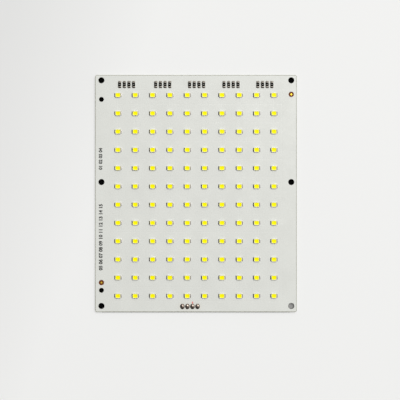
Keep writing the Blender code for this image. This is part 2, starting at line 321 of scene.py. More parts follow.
# %% Solder mask
MASK = linear("#d6d7d2")
MASK_SHADE = linear("#d1d2cd")
FLUX_STAIN = linear("#c9b99c")
CLOUD_SIZE = 14.0
CLOUD_SHARE = 0.7
PIGMENT_GRAIN = 0.35
PIGMENT_SHARE = 0.25
PEEL_GRAIN = 0.7
PEEL_SHARE = 0.35
GROOVE_SHARE = 0.6
MASK_RELIEF = 0.02
GLOSS_PATCH = 4.0
MASK_ROUGHNESS = (0.22, 0.31)


def mask_colour(tree, place, split):
    broad = noise_of(tree, place, CLOUD_SIZE, 3.0)
    clouds = ranged(tree, broad, *NARROW_RANGE, 0.0, CLOUD_SHARE)
    fine = noise_of(tree, place, PIGMENT_GRAIN)
    pigment = ranged(tree, fine, *NOISE_RANGE, 0.0, PIGMENT_SHARE)
    mottled = calculate(tree, "ADD", clouds, pigment)
    base = blend_colours(tree, mottled, MASK, MASK_SHADE)
    return blend_colours(tree, flux_stain(tree, place, split), base, FLUX_STAIN)


def solder_mask():
    material, tree, shader = new_material("sprayed_solder_mask", ior=1.5)
    place = object_millimetres(tree)
    split = add_node(tree, "SeparateXYZ", {0: place}).outputs
    tree.links.new(mask_colour(tree, place, split), shader.inputs["Base Color"])
    peel = calculate(tree, "MULTIPLY", noise_of(tree, place, PEEL_GRAIN, 3.0), PEEL_SHARE)
    sunk = calculate(tree, "MULTIPLY", copper_grooves(tree, split), GROOVE_SHARE)
    bump_from(tree, shader, calculate(tree, "SUBTRACT", peel, sunk), MASK_RELIEF)
    gloss = ranged(tree, noise_of(tree, place, GLOSS_PATCH), *NOISE_RANGE, *MASK_ROUGHNESS)
    tree.links.new(gloss, shader.inputs["Roughness"])
    return material


mask_finish = solder_mask()
print("made", mask_finish.name)

# %% [markdown]
# Glass-epoxy laminate
#
# Where the board was routed and drilled, the laminate shows: glass cloth in epoxy, a pale
# greyish tan, matt from the cutter, with the plies of cloth as fine level lines. The wall of
# a drilled hole is the same stuff with its shade painted in, and so is much darker. Burnt
# flux, which rings each hand-soldered joint, is darker still; its near-black also paints the
# shade on the outer slope of each solder dome.

# %% Laminate, cut and drilled
PLY = 0.18
PLY_WANDER = 0.12
WANDER_LENGTH = 3.0
FIBRE = 0.12
CUT_RELIEF = 0.015
CUT_ROUGHNESS = 0.6
CUT_GLOSS = 0.25


def laminate(name, pale, dark):
    material, tree, shader = new_material(
        name, roughness=CUT_ROUGHNESS, ior=1.52, specular_ior_level=CUT_GLOSS
    )
    place = object_millimetres(tree)
    height = add_node(tree, "SeparateXYZ", {0: place}).outputs[2]
    wander = calculate(tree, "MULTIPLY", noise_of(tree, place, WANDER_LENGTH), PLY_WANDER)
    phase = calculate(tree, "DIVIDE", calculate(tree, "ADD", height, wander), PLY / math.tau)
    plies = ranged(tree, calculate(tree, "SINE", phase), -1.0, 1.0, 0.0, 0.5)
    fibres = calculate(tree, "MULTIPLY", noise_of(tree, place, FIBRE, 4.0), 0.5)
    mixed = calculate(tree, "ADD", plies, fibres)
    colour = blend_colours(tree, mixed, linear(pale), linear(dark))
    tree.links.new(colour, shader.inputs["Base Color"])
    bump_from(tree, shader, mixed, CUT_RELIEF)
    return material


edge_finish = laminate("routed_laminate", "#c4c4ba", "#a1a196")
# A far darker copy of the laminate: the shade inside the holes, painted into the colour.
hole_wall_shade_finish = laminate("drilled_laminate_painted_shade", "#363228", "#1c1a14")
bare_finish = laminate("bare_laminate", "#733800", "#542700")
# Burnt flux, and also the painted shade on the outer slope of each solder dome.
flux_and_shade_finish = laminate("burnt_flux_and_painted_shade", "#22140a", "#110904")
print("made", edge_finish.name, hole_wall_shade_finish.name, bare_finish.name, flux_and_shade_finish.name)

# %% [markdown]
# Plated metal
#
# Silver plate, tin and solder are each a warm grey, mottled by the fine grain of their
# crystals, which roughens them a little too. The four pads on the underside are tinned.

# %% Plated metal
def plated_metal(name, pale, dark, roughness, grain, depth):
    """Grain and depth of the relief are in millimetres."""
    return mottled_finish(name, pale, dark, grain, depth, metallic=1.0, roughness=roughness)


pad_finish = plated_metal("tinned_pad", "#a39d95", "#8d877f", 0.42, 0.15, 0.003)
print("made", pad_finish.name)

# %% [markdown]
# The board
#
# The blank is a flat grid whose corners are rounded and which is then raised to the board's
# thickness. The grid keeps each face small, so that the cuts stay clean. The mask stops short
# of a routed edge, so an inset leaves a bare strip round each face, and the edge itself gets
# a small bevel. The holes are cut with cutters that flare at both faces, so each hole gets
# the same bare ring. A Boolean is the right tool: the cutters' finish passes to the walls.

# %% Mesh helpers
SMOOTH_ANGLE = 35


def finished(name, bm, materials, smooth_angle=SMOOTH_ANGLE):
    """The bmesh, drawn in millimetres, as an object in metres at the origin."""
    bmesh.ops.scale(bm, vec=(MM, MM, MM), verts=bm.verts)
    mesh = bpy.data.meshes.new(name)
    bm.to_mesh(mesh)
    bm.free()
    for material in materials:
        mesh.materials.append(material)
    mesh.shade_smooth()
    mesh.set_sharp_from_angle(angle=math.radians(smooth_angle))
    made = bpy.data.objects.new(name, mesh)
    bpy.context.scene.collection.objects.link(made)
    return made


def bevel(bm, geom, offset, segments, affect="EDGES", material=-1):
    return bmesh.ops.bevel(
        bm,
        geom=geom,
        offset=offset,
        offset_type="OFFSET",
        segments=segments,
        profile=0.5,
        affect=affect,
        material=material,
    )


def raise_faces(bm, faces, by, scale=1.0, about=(0, 0, 0)):
    """Extrudes the faces by a vector and scales what was raised about a point."""
    grown = bmesh.ops.extrude_face_region(bm, geom=faces)
    buried = [face for face in faces if any(len(edge.link_faces) > 2 for edge in face.edges)]
    bmesh.ops.delete(bm, geom=buried, context="FACES")
    verts = [item for item in grown["geom"] if isinstance(item, bmesh.types.BMVert)]
    bmesh.ops.translate(bm, vec=by, verts=verts)
    if scale != 1.0:
        space = Matrix.Translation(-Vector(about))
        bmesh.ops.scale(bm, vec=(scale, scale, 1), space=space, verts=verts)
    return [item for item in grown["geom"] if isinstance(item, bmesh.types.BMFace)]


def flat_shape(bm, width, length, cells=(1, 1)):
    """A flat rectangle about the origin, as a grid of cells. Gives back its four corners."""
    made = bmesh.ops.create_grid(bm, x_segments=cells[0], y_segments=cells[1], size=0.5)["verts"]
    bmesh.ops.scale(bm, vec=(width, length, 1), verts=made)
    return [vert for vert in made if len(vert.link_edges) == 2]


print("mesh helpers ready")

# %% Board blank
CORNER_STEPS = 8
BEVEL_STEPS = 3
CELLS = (12, 14)


def board_blank():
    bm = bmesh.new()
    corners = flat_shape(bm, BOARD_WIDTH, BOARD_LENGTH, CELLS)
    bevel(bm, corners, CORNER_RADIUS, CORNER_STEPS, affect="VERTICES")
    raise_faces(bm, bm.faces[:], (0, 0, BOARD_TOP))
    bmesh.ops.recalc_face_normals(bm, faces=bm.faces)
    for way in (1, -1):
        flat = [face for face in bm.faces if face.normal.z * way > 0.5]
        strip = bmesh.ops.inset_region(bm, faces=flat, thickness=MASK_GAP + EDGE_BEVEL)["faces"]
        for face in strip:
            face.material_index = 1
    walls = [face for face in bm.faces if abs(face.normal.z) < 0.5]
    for face in walls:
        face.material_index = 1
    rims = {edge for face in walls for edge in face.edges if abs(edge.calc_face_angle(0)) > 1}
    bevel(bm, list(rims), EDGE_BEVEL, BEVEL_STEPS)
    return finished("masked_board", bm, [mask_finish, edge_finish])


board = board_blank()
print("blank has", len(board.data.polygons), "faces")

# %% [markdown]
# Each cutter starts as a short cylinder inside the board's thickness. Its two end faces are
# extruded outwards with a scale, which makes the flare, and once more past the board.

# %% Hole cutters
HOLE_SIDES = 48
HOLE_RING = 0.12
PAST = 0.5  # how far a cutter stands past the board's faces


def flared_cutter(bm, place, diameter):
    x, y = place[0], place[1]
    middle = (x, y, BOARD_TOP / 2)
    before = set(bm.faces)
    bmesh.ops.create_cone(
        bm,
        cap_ends=True,
        segments=HOLE_SIDES,
        radius1=diameter / 2,
        radius2=diameter / 2,
        depth=BOARD_TOP - 2 * HOLE_RING,
        matrix=Matrix.Translation(middle),
    )
    ends = [face for face in bm.faces if face not in before and len(face.verts) > 4]
    flare = 1 + 2 * HOLE_RING / diameter
    for end in ends:
        way = 1 if end.calc_center_median().z > middle[2] else -1
        flared = raise_faces(bm, [end], (0, 0, way * HOLE_RING), flare, middle)
        raise_faces(bm, flared, (0, 0, way * PAST))


def hole_cutters():
    bm = bmesh.new()
    for place in screw_places:
        flared_cutter(bm, place, SCREW_HOLE)
    for place in locating_places:
        flared_cutter(bm, place, LOCATING_HOLE)
    bmesh.ops.recalc_face_normals(bm, faces=bm.faces)
    return finished("hole_cutters", bm, [hole_wall_shade_finish])


cutters = hole_cutters()
print("cutters have", len(cutters.data.polygons), "faces")

# %% [markdown]
# The mask also has openings that don't go through: two round ones for the fiducials, which
# a placing machine looks for, and one round each lead on both faces, where the pads are.

# %% Mask openings and lead holes
FIDUCIAL_OPENING = 3.2
OPENING_DEPTH = 0.04
LEAD_HOLE = 1.3
LEAD_HOLE_SIDES = 32
PAD_RING = 0.07
DOME_RADIUS = 1.3
DOME_STRETCH = 1.19


def add_cylinder(bm, place, diameter, low, high, sides=HOLE_SIDES):
    return bmesh.ops.create_cone(
        bm,
        cap_ends=True,
        segments=sides,
        radius1=diameter / 2,
        radius2=diameter / 2,
        depth=high - low,
        matrix=Matrix.Translation((place[0], place[1], (low + high) / 2)),
    )["verts"]


def opening_cutters():
    bm = bmesh.new()
    for place in fiducial_places:
        add_cylinder(bm, place, FIDUCIAL_OPENING, BOARD_TOP - OPENING_DEPTH, BOARD_TOP + PAST)
    return finished("opening_cutters", bm, [bare_finish])


def pad_cutters(name, low, high, finish):
    """Openings in one face, as long as the domes, with a ring to spare."""
    bm = bmesh.new()
    across = 2 * (DOME_RADIUS + PAD_RING)
    for place in lead_places:
        made = add_cylinder(bm, place, across, low, high)
        space = Matrix.Translation((0, -place.y, 0))
        bmesh.ops.scale(bm, vec=(1, DOME_STRETCH, 1), space=space, verts=made)
    return finished(name, bm, [finish])


def lead_hole_cutters():
    bm = bmesh.new()
    for place in lead_places:
        add_cylinder(bm, place, LEAD_HOLE, -PAST, BOARD_TOP + PAST, LEAD_HOLE_SIDES)
    return finished("lead_hole_cutters", bm, [hole_wall_shade_finish])


def cut_away(piece, cutters):
    """Boolean cuts, applied at once, so that the cutters can go."""
    for cutter in cutters:
        modifier = piece.modifiers.new(cutter.name, "BOOLEAN")
        modifier.operation = "DIFFERENCE"
        modifier.solver = "EXACT"
        modifier.material_mode = "TRANSFER"
        modifier.object = cutter
    graph = bpy.context.evaluated_depsgraph_get()
    cut = bpy.data.meshes.new_from_object(piece.evaluated_get(graph))
    piece.modifiers.clear()
    piece.data = cut
    cut.shade_smooth()
    cut.set_sharp_from_angle(angle=math.radians(SMOOTH_ANGLE))
    for cutter in cutters:
        bpy.data.objects.remove(cutter, do_unlink=True)


top_pads = pad_cutters("top_pads", BOARD_TOP - OPENING_DEPTH, BOARD_TOP + PAST, flux_and_shade_finish)
under_pads = pad_cutters("under_pads", -PAST, OPENING_DEPTH, pad_finish)
cut_away(board, [cutters, opening_cutters(), top_pads, under_pads, lead_hole_cutters()])
print("the board has", len(board.data.polygons), "faces")

# %% [markdown]
# Riding and replacing
#
# Nothing on this panel moves, so every piece rides on the one body. A piece that stands for a
# solid of the model says so, and the solid is then hidden.

# %% Placing helper
def place_piece(piece, slot, *nodes):
    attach(piece, "root")
    if nodes:
        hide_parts(*nodes)
    return piece


place_piece(board, "white_solder_mask", "circuit_board")
print("placed", board.name)

# %% [markdown]
# Gilt copper
#
# The fiducial dots are copper foil with a thin layer of gold over nickel, so that they stay
# bright. Gold's yellow comes from the metal itself, so it is the base colour of a metal.

# %% Fiducial dots
FIDUCIAL_DOT = 1.0
DOT_SIDES = 32
FOIL = 0.035
gilt_finish = plated_metal("gilt_copper", "#ffdc4c", "#efc232", 0.34, 0.2, 0.004)


def fiducial_dots():
    bm = bmesh.new()
    floor = BOARD_TOP - OPENING_DEPTH
    for place in fiducial_places:
        add_cylinder(bm, place, FIDUCIAL_DOT, floor, floor + FOIL, DOT_SIDES)
    edges = [e for e in bm.edges if e.verts[0].co.z > floor + FOIL / 2 < e.verts[1].co.z]
    bevel(bm, edges, FOIL / 3, 1)
    return finished("fiducial_dots", bm, [gilt_finish])


dots = place_piece(fiducial_dots(), "gilt_copper")
print("made", dots.name)

# %% [markdown]
# Shapes that repeat
#
# The board carries many LEDs and resistors that are all alike. One of each is modelled as a
# small mesh in millimetres, and a bmesh then takes a copy of it at every place.

# %% Repeating helpers
def as_shape(bm, name):
    """The bmesh kept as a mesh in millimetres, to be repeated."""
    shape = bpy.data.meshes.new(name)
    bm.to_mesh(shape)
    bm.free()
    return shape


def repeated(shape, places):
    """One bmesh with a copy of the mesh at each place."""
    bm = bmesh.new()
    for x, y in places:
        before = len(bm.verts)
        bm.from_mesh(shape)
        bm.verts.ensure_lookup_table()
        bmesh.ops.translate(bm, vec=(x, y, BOARD_TOP), verts=bm.verts[before:])
    return bm


def highest_face(bm):
    return max(bm.faces, key=lambda face: face.calc_center_median().z)


print("repeating helpers ready")

# %% [markdown]
# LED housing
#
# Each LED is a tiny moulding of white polyamide around a metal frame. The block has drafted
# sides so that it leaves the mould, softly rounded edges, and a shallow cup for the light.
# The cup's lower left corner is cut, which marks the cathode. The rim lies flat between the
# block's upper edge and the cup's outline. The two loops have unlike counts of points, so
# bridging them could pair the wrong ones, and a triangle fill, which knows the inner loop as
# a hole, is the safer tool.

# %% LED housings
LED_LENGTH = 3.3
LED_WIDTH = 2.8
LED_HEIGHT = 0.8
END_DRAFT = 0.12
SIDE_DRAFT = 0.08
WINDOW_LENGTH = 2.76
WINDOW_WIDTH = 2.36
WINDOW_CORNER = 0.46
CATHODE_CUT = 0.5
CUP_DEPTH = 0.16
CUP_FLOOR = 0.95  # the cup's floor, as a share of its mouth
UPRIGHT_EDGE = 0.12
RIM_EDGE = 0.03


def window_shape(bm, height, grow=1.0):
    """The cup's outline as one face: three round corners and one cut corner."""
    made = flat_shape(bm, WINDOW_LENGTH * grow, WINDOW_WIDTH * grow)
    bmesh.ops.translate(bm, vec=(0, 0, height), verts=made)
    cathode = min(made, key=lambda vert: vert.co.x + vert.co.y)
    others = [vert for vert in made if vert is not cathode]
    known = set(bm.verts) - set(made)
    bevel(bm, [cathode], CATHODE_CUT, 1, affect="VERTICES")
    bevel(bm, others, WINDOW_CORNER, 2, affect="VERTICES")
    fresh = [vert for vert in bm.verts if vert not in known]
    return next(face for face in bm.faces if set(face.verts) <= set(fresh))


def led_housing():
    bm = bmesh.new()
    block = bmesh.ops.create_cube(bm, size=1)["verts"]
    bmesh.ops.scale(bm, vec=(LED_LENGTH, LED_WIDTH, LED_HEIGHT), verts=block)
    bmesh.ops.translate(bm, vec=(0, 0, LED_HEIGHT / 2), verts=block)
    drafted = (1 - 2 * END_DRAFT / LED_LENGTH, 1 - 2 * SIDE_DRAFT / LED_WIDTH, 1)
    bmesh.ops.scale(bm, vec=drafted, verts=highest_face(bm).verts)
    upright = [e for e in bm.edges if abs(e.verts[0].co.z - e.verts[1].co.z) > LED_HEIGHT / 2]
    bevel(bm, upright, UPRIGHT_EDGE, 2)
    bevel(bm, list(highest_face(bm).edges), RIM_EDGE, 1)
    top = highest_face(bm)
    outer = list(top.edges)
    bmesh.ops.delete(bm, geom=[top], context="FACES_ONLY")
    window = window_shape(bm, LED_HEIGHT)
    inner = list(window.edges)
    raise_faces(bm, [window], (0, 0, -CUP_DEPTH), CUP_FLOOR)
    bmesh.ops.delete(bm, geom=[window], context="FACES_ONLY")
    bmesh.ops.triangle_fill(bm, use_beauty=True, edges=outer + inner)
    bmesh.ops.recalc_face_normals(bm, faces=bm.faces)
    return as_shape(bm, "led_housing")


def moulded_polyamide(flow_marks=0.5, spark_grain=0.08, relief=0.004):
    """Faint flow marks in the colour, and the fine grain of the spark-cut mould as relief."""
    material, tree, shader = new_material("moulded_polyamide", roughness=0.42, ior=1.53)
    place = object_millimetres(tree)
    flow = mottle(tree, place, flow_marks)
    colour = blend_colours(tree, flow, linear("#dad8d1"), linear("#d0cec5"))
    tree.links.new(colour, shader.inputs["Base Color"])
    bump_from(tree, shader, noise_of(tree, place, spark_grain), relief)
    return material


housings = finished("led_housings", repeated(led_housing(), led_places), [moulded_polyamide()])
place_piece(housings, "led_housing", "circuit_board")
print("housings have", len(housings.data.polygons), "faces")

# %% [markdown]
# Encapsulant
#
# The cup is filled with clear silicone loaded with yellow phosphor. It wets the rim and dips
# a little to the middle. Seen unlit it is a bright lemon yellow, warmer over the chip, with a
# fine grain of phosphor. A float attribute, 1 over the chip and 0 at the rim, carries the
# warmth, so that the pattern follows each window.

# %% LED windows
WARMTH_SHARE = 0.65
GRAIN_SHARE = 0.35
GEL_BOTTOM = 0.9 * CUP_DEPTH  # below the rim
GEL_THICKNESS = 0.82 * CUP_DEPTH
GEL_FOOT = 0.955  # the gel's lower face, as a share of the cup's mouth
GEL_FLARE = 1.035
DIPS = ((0.08, 0.02), (0.2, 0.04))
MIDDLE_DIP = 0.03


def led_window():
    bm = bmesh.new()
    window = window_shape(bm, LED_HEIGHT - GEL_BOTTOM, GEL_FOOT)
    top = raise_faces(bm, [window], (0, 0, GEL_THICKNESS), GEL_FLARE)
    for inward, down in DIPS:
        bmesh.ops.inset_region(bm, faces=top, thickness=inward, depth=-down)
    bmesh.ops.poke(bm, faces=top, offset=-MIDDLE_DIP)
    bmesh.ops.recalc_face_normals(bm, faces=bm.faces)
    warmth = bm.verts.layers.float.new("over_chip")
    for vert in bm.verts:
        off = max(abs(vert.co.x) / WINDOW_LENGTH, abs(vert.co.y) / WINDOW_WIDTH) * 2
        vert[warmth] = max(0.0, 1.0 - off)
    return as_shape(bm, "led_window")


def phosphor_silicone(phosphor_grain=0.09, ripple=0.12, relief=0.006):
    material, tree, shader = new_material(
        "phosphor_silicone", roughness=0.35, ior=1.41, specular_ior_level=0.12
    )
    place = object_millimetres(tree)
    over_chip = add_node(tree, "Attribute", attribute_name="over_chip").outputs["Fac"]
    specks = noise_of(tree, place, phosphor_grain, 1.0)
    grains = ranged(tree, specks, *NARROW_RANGE, 0.0, GRAIN_SHARE)
    warm = calculate(tree, "ADD", calculate(tree, "MULTIPLY", over_chip, WARMTH_SHARE), grains)
    colour = blend_colours(tree, warm, linear("#fbf902"), linear("#f6e402"))
    tree.links.new(colour, shader.inputs["Base Color"])
    bump_from(tree, shader, noise_of(tree, place, ripple), relief)
    return material


gel = repeated(led_window(), led_places)
windows = finished("led_windows", gel, [phosphor_silicone()], smooth_angle=60)
place_piece(windows, "led_encapsulant", "circuit_board")
print("windows have", len(windows.data.polygons), "faces")

# %% [markdown]
# Terminals and solder fillets
#
# The metal frame leaves the moulding at both ends as a low tab, plated with silver. Solder
# climbs from the pad to the tab in a hollow curve, the shape that surface tension gives it.
# The fillet's section is a few points on that curve, extruded across the tab, with its two
# ends drawn down to the pad. The same curve serves the resistors, whose fillets are larger
# and end in a rounder toe.

# %% Sections of a fillet
CURVE_POINTS = 4
CLIMB = 1.4
NARROWING = 0.16


def fillet_section(bm, at, reach, height, y):
    """The hollow curve from the cap at x = at to its toe, closed along the pad, as one face."""
    points = [(at, 0)]
    for i in range(CURVE_POINTS + 1):
        out = 1 - i / CURVE_POINTS
        points.append((at + reach * out, height * (1 - out) ** CLIMB))
    return bm.faces.new([bm.verts.new((x, y, z)) for x, z in points])


# Along the fillet's width: where each section stands, how high it climbs, how far it reaches,
# each as a share of the whole
FILLET_SECTIONS = (
    (-0.5, 0.3, 0.78),
    (-0.475, 0.75, 0.93),
    (-0.42, 0.92, 1.0),
    (0.42, 0.92, 1.0),
    (0.475, 0.75, 0.93),
    (0.5, 0.3, 0.78),
)
ROUND_SECTIONS = (
    (-0.5, 0.25, 0.4),
    (-0.46, 0.6, 0.66),
    (-0.38, 0.86, 0.88),
    (-0.24, 0.95, 1.0),
    (0.24, 0.95, 1.0),
    (0.38, 0.86, 0.88),
    (0.46, 0.6, 0.66),
    (0.5, 0.25, 0.4),
)
print(len(FILLET_SECTIONS), "sections in a fillet,", len(ROUND_SECTIONS), "in a round one")

# %% Fillets and blocks
def solder_fillet(bm, at, reach, height, width, sections=FILLET_SECTIONS, slot=0):
    """A fillet beyond x = at, with its middle on y = 0, which narrows as it climbs."""
    known = set(bm.verts)
    faces = set(bm.faces)
    places = [width * along for along, _, _ in sections]
    section = [fillet_section(bm, at, reach, height, places[0])]
    for here, following in zip(places, places[1:]):
        section = raise_faces(bm, section, (0, following - here, 0))
    fresh = [vert for vert in bm.verts if vert not in known]
    for vert in fresh:
        nearest = min(range(len(places)), key=lambda i: abs(places[i] - vert.co.y))
        _, climb, extent = sections[nearest]
        vert.co.x = at + (vert.co.x - at) * extent
        vert.co.z *= climb
        vert.co.y *= 1 - NARROWING * vert.co.z / height
    skin = [face for face in bm.faces if face not in faces]
    for face in skin:
        face.material_index = slot
    bmesh.ops.recalc_face_normals(bm, faces=skin)


def at_both_ends(bm, make):
    """Makes the shape at +X and again, turned half round, at -X."""
    for turn in (0, math.pi):
        known = set(bm.verts)
        make(bm)
        made = [vert for vert in bm.verts if vert not in known]
        bmesh.ops.rotate(bm, cent=(0, 0, 0), matrix=Matrix.Rotation(turn, 3, "Z"), verts=made)


def rounded_block(bm, size, centre, edge, steps=1, slot=0):
    """A block with its edges rounded by edge. The slot is the place of its finish."""
    before = set(bm.faces)
    made = bmesh.ops.create_cube(bm, size=1)["verts"]
    bmesh.ops.scale(bm, vec=size, verts=made)
    bmesh.ops.translate(bm, vec=centre, verts=made)
    edges = list({link for vert in made for link in vert.link_edges})
    bevel(bm, edges, edge, steps)
    for face in set(bm.faces) - before:
        face.material_index = slot


print("fillet helpers ready")

# %% [markdown]
# The silver plate is coloured a darker grey than the solder, which darkens both ends of each LED.

# %% LED terminals and solder
TAB_REACH = 0.08
TAB_WIDTH = 2.2
TAB_THICKNESS = 0.42
TAB_LIFT = 0.02
TAB_EDGE = 0.03
FILLET_REACH = 0.55
FILLET_HEIGHT = 0.4
FILLET_WIDTH = 2.3

silver_finish = plated_metal("silver_plate", "#857f77", "#746f67", 0.4, 0.15, 0.001)
solder_finish = plated_metal("reflowed_solder", "#b2aca4", "#9c968e", 0.38, 0.2, 0.003)


def led_terminal(bm):
    size = (2 * TAB_REACH, TAB_WIDTH, TAB_THICKNESS)
    rounded_block(bm, size, (LED_LENGTH / 2, 0, TAB_LIFT + TAB_THICKNESS / 2), TAB_EDGE)


def led_fillet(bm):
    inner = LED_LENGTH / 2 - END_DRAFT / 2
    solder_fillet(bm, inner, FILLET_REACH + END_DRAFT / 2, FILLET_HEIGHT, FILLET_WIDTH)


def on_every_led(name, make, finish):
    """The shape at both ends of every LED, as one piece."""
    bm = bmesh.new()
    at_both_ends(bm, make)
    return finished(name, repeated(as_shape(bm, name), led_places), [finish])


tabs = on_every_led("led_terminals", led_terminal, silver_finish)
place_piece(tabs, "tinned_copper", "circuit_board")
fillets = on_every_led("led_solder", led_fillet, solder_finish)
place_piece(fillets, "solder", "circuit_board")
print("terminals", len(tabs.data.polygons), "faces, solder", len(fillets.data.polygons))

# %% [markdown]
# Chip resistors
#
# A chip resistor is a slip of white alumina with a black glass overcoat and a tinned cap on
# each end. Each is one piece of five finishes: the alumina, the overcoat, the caps, the hollow
# fillets and the pale value mark, which is three plain strokes.

# %% Resistor finishes
def plain_finish(name, pale, dark, roughness, grain, depth, gloss=0.5):
    """A finish that isn't metal."""
    values = {"roughness": roughness, "ior": 1.5, "specular_ior_level": gloss}
    return mottled_finish(name, pale, dark, grain, depth, **values)


ALUMINA, OVERCOAT, CAP, CHIP_SOLDER, VALUE_MARK = range(5)
resistor_finishes = [
    plain_finish("fired_alumina", "#e9e7e0", "#d9d6cd", 0.6, 0.1, 0.004),
    plain_finish("glass_overcoat", "#050404", "#030302", 0.35, 0.3, 0.003, 0.03),
    plated_metal("tinned_cap", "#9e9890", "#89847c", 0.5, 0.12, 0.004),
    plated_metal("dull_solder", "#938d85", "#7e7971", 0.36, 0.2, 0.003),
    plain_finish("value_mark", "#96938b", "#85827a", 0.55, 0.1, 0.001),
]
print(len(resistor_finishes), "resistor finishes")

# %% Sizes of a resistor
CHIP_LENGTH = 3.2
CHIP_WIDTH = 1.8
CHIP_HEIGHT = 0.55
CAP_LENGTH = 0.5
CAP_GAP = 0.01  # above and below a cap
CAP_EDGE = 0.07
CHIP_TOE = 0.56
CHIP_CLIMB = 0.82  # of the chip's height
CHIP_SOLDER_WIDTH = CHIP_WIDTH + 0.12
ROOT = 0.05  # how far a fillet goes into the cap

BODY_LENGTH = CHIP_LENGTH - 0.1
BODY_WIDTH = CHIP_WIDTH - 0.06
BODY_HEIGHT = CHIP_HEIGHT - 0.12
BODY_LIFT = 0.03
BODY_EDGE = 0.02
GLASS_LENGTH = CHIP_LENGTH - 2 * CAP_LENGTH + 0.06
GLASS_WIDTH = CHIP_WIDTH - 0.01
GLASS_THICKNESS = 0.2
GLASS_BELOW_TOP = 0.015
GLASS_EDGE = 0.04
STROKE = (0.1, 0.95, 0.012)
STROKE_PITCH = 0.18
STROKE_EDGE = 0.003
print("a resistor is", CHIP_LENGTH, "by", CHIP_WIDTH, "by", CHIP_HEIGHT, "mm")

# %% Resistors
def chip_cap(bm):
    size = (CAP_LENGTH, CHIP_WIDTH, CHIP_HEIGHT - 2 * CAP_GAP)
    centre = ((CHIP_LENGTH - CAP_LENGTH) / 2, 0, CHIP_HEIGHT / 2)
    rounded_block(bm, size, centre, CAP_EDGE, 2, CAP)


def chip_fillet(bm):
    solder_fillet(
        bm,
        CHIP_LENGTH / 2 - ROOT,
        CHIP_TOE + ROOT,
        CHIP_HEIGHT * CHIP_CLIMB,
        CHIP_SOLDER_WIDTH,
        ROUND_SECTIONS,
        CHIP_SOLDER,
    )


def chip_shape():
    """The chip along X, on the board's face."""
    bm = bmesh.new()
    body = (BODY_LENGTH, BODY_WIDTH, BODY_HEIGHT)
    rounded_block(bm, body, (0, 0, BODY_LIFT + BODY_HEIGHT / 2), BODY_EDGE, 1, ALUMINA)
    glass = (GLASS_LENGTH, GLASS_WIDTH, GLASS_THICKNESS)
    middle = CHIP_HEIGHT - GLASS_BELOW_TOP - GLASS_THICKNESS / 2
    rounded_block(bm, glass, (0, 0, middle), GLASS_EDGE, 2, OVERCOAT)
    for along in (-STROKE_PITCH, 0.0, STROKE_PITCH):
        centre = (along, 0, CHIP_HEIGHT - STROKE[2])
        rounded_block(bm, STROKE, centre, STROKE_EDGE, 1, VALUE_MARK)
    at_both_ends(bm, chip_cap)
    at_both_ends(bm, chip_fillet)
    quarter = Matrix.Rotation(math.pi / 2, 3, "Z")
    bmesh.ops.rotate(bm, cent=(0, 0, 0), matrix=quarter, verts=bm.verts)
    return as_shape(bm, "chip")


chip = chip_shape()
for node in resistor_nodes:
    middle = node_middle(node)
    piece = finished("chip_" + node, repeated(chip, [(middle.x, middle.y)]), resistor_finishes)
    place_piece(piece, "resistor_overcoat", node)
print(len(resistor_nodes), "resistors of", len(chip.polygons), "faces")

# %% [markdown]
# Solder joints
#
# Each lead stands in a plated hole, and the solder round it has run into a bright dome. A
# dome is a turned shape: its half section is spun about the lead. It also fills the hole down
# to the underside, where the lead is cut off flush. A near-black band rings its foot: burnt
# flux, and painted shade on the dome's outer slope. The crown sits a little above the lead's
# middle, so the dark band is widest below, where the painted shade is deepest.

# %% Solder domes
DOME_STEPS = 32
DOME_SECTION = (
    (DOME_RADIUS, 0.0),
    (1.24, 0.04),
    (1.15, 0.11),
    (1.03, 0.2),
    (0.9, 0.3),
    (0.77, 0.395),
    (0.63, 0.48),
    (0.48, 0.55),
    (0.32, 0.6),
    (0.16, 0.625),
    (0.0, 0.635),
)
FLUX_AND_SHADE_FROM = 1.03  # the radius from which the dark band of flux and painted shade starts
SLIDE = 0.14
BORE = 0.45
BARREL = 0.62
CEILING = 0.5
WELD = 0.001


def dome_section(bm):
    ceiling = BOARD_TOP + CEILING
    floor = BOARD_TOP - OPENING_DEPTH
    below = [(0, ceiling), (BORE, ceiling), (BORE, 0.0), (BARREL, 0.0), (BARREL, floor)]
    skirt = [(DOME_SECTION[0][0], floor)]
    above = [(radius, BOARD_TOP + up) for radius, up in DOME_SECTION]
    return [bm.verts.new((radius, 0, z)) for radius, z in below + skirt + above]


def solder_dome(node, lean):
    bm = bmesh.new()
    points = dome_section(bm)
    edges = [bm.edges.new(pair) for pair in zip(points, points[1:])]
    bmesh.ops.spin(
        bm,
        geom=points + edges,
        cent=(0, 0, 0),
        axis=(0, 0, 1),
        angle=math.tau,
        steps=DOME_STEPS,
        use_merge=True,
    )
    bmesh.ops.remove_doubles(bm, verts=bm.verts, dist=WELD)
    bmesh.ops.recalc_face_normals(bm, faces=bm.faces)
    # The outer faces take the near-black of flux and painted shade.
    for face in bm.faces:
        middle = face.calc_center_median()
        face.material_index = int(middle.xy.length > FLUX_AND_SHADE_FROM)
    for vert in bm.verts:
        above = vert.co.z - BOARD_TOP
        if above > -OPENING_DEPTH / 2:
            inward = (DOME_RADIUS - vert.co.xy.length) / (DOME_RADIUS - FLUX_AND_SHADE_FROM)
            vert.co.x += lean * max(above, 0)
            vert.co.y = (vert.co.y + SLIDE * min(inward, 1)) * DOME_STRETCH
    middle = node_middle(node)
    bmesh.ops.translate(bm, vec=(middle.x, middle.y, 0), verts=bm.verts)
    name = node.replace("joint", "dome")
    return finished(name, bm, [dome_finish, flux_and_shade_finish], smooth_angle=50)


dome_finish = plated_metal("bright_solder", "#b8a89c", "#9b8d82", 0.35, 0.35, 0.003)
LEANS = (0.2, 0.06, 0.1, 0.22)
for node, lean in zip(solder_nodes, LEANS):
    place_piece(solder_dome(node, lean), "solder", node)
print(len(solder_nodes), "solder domes")

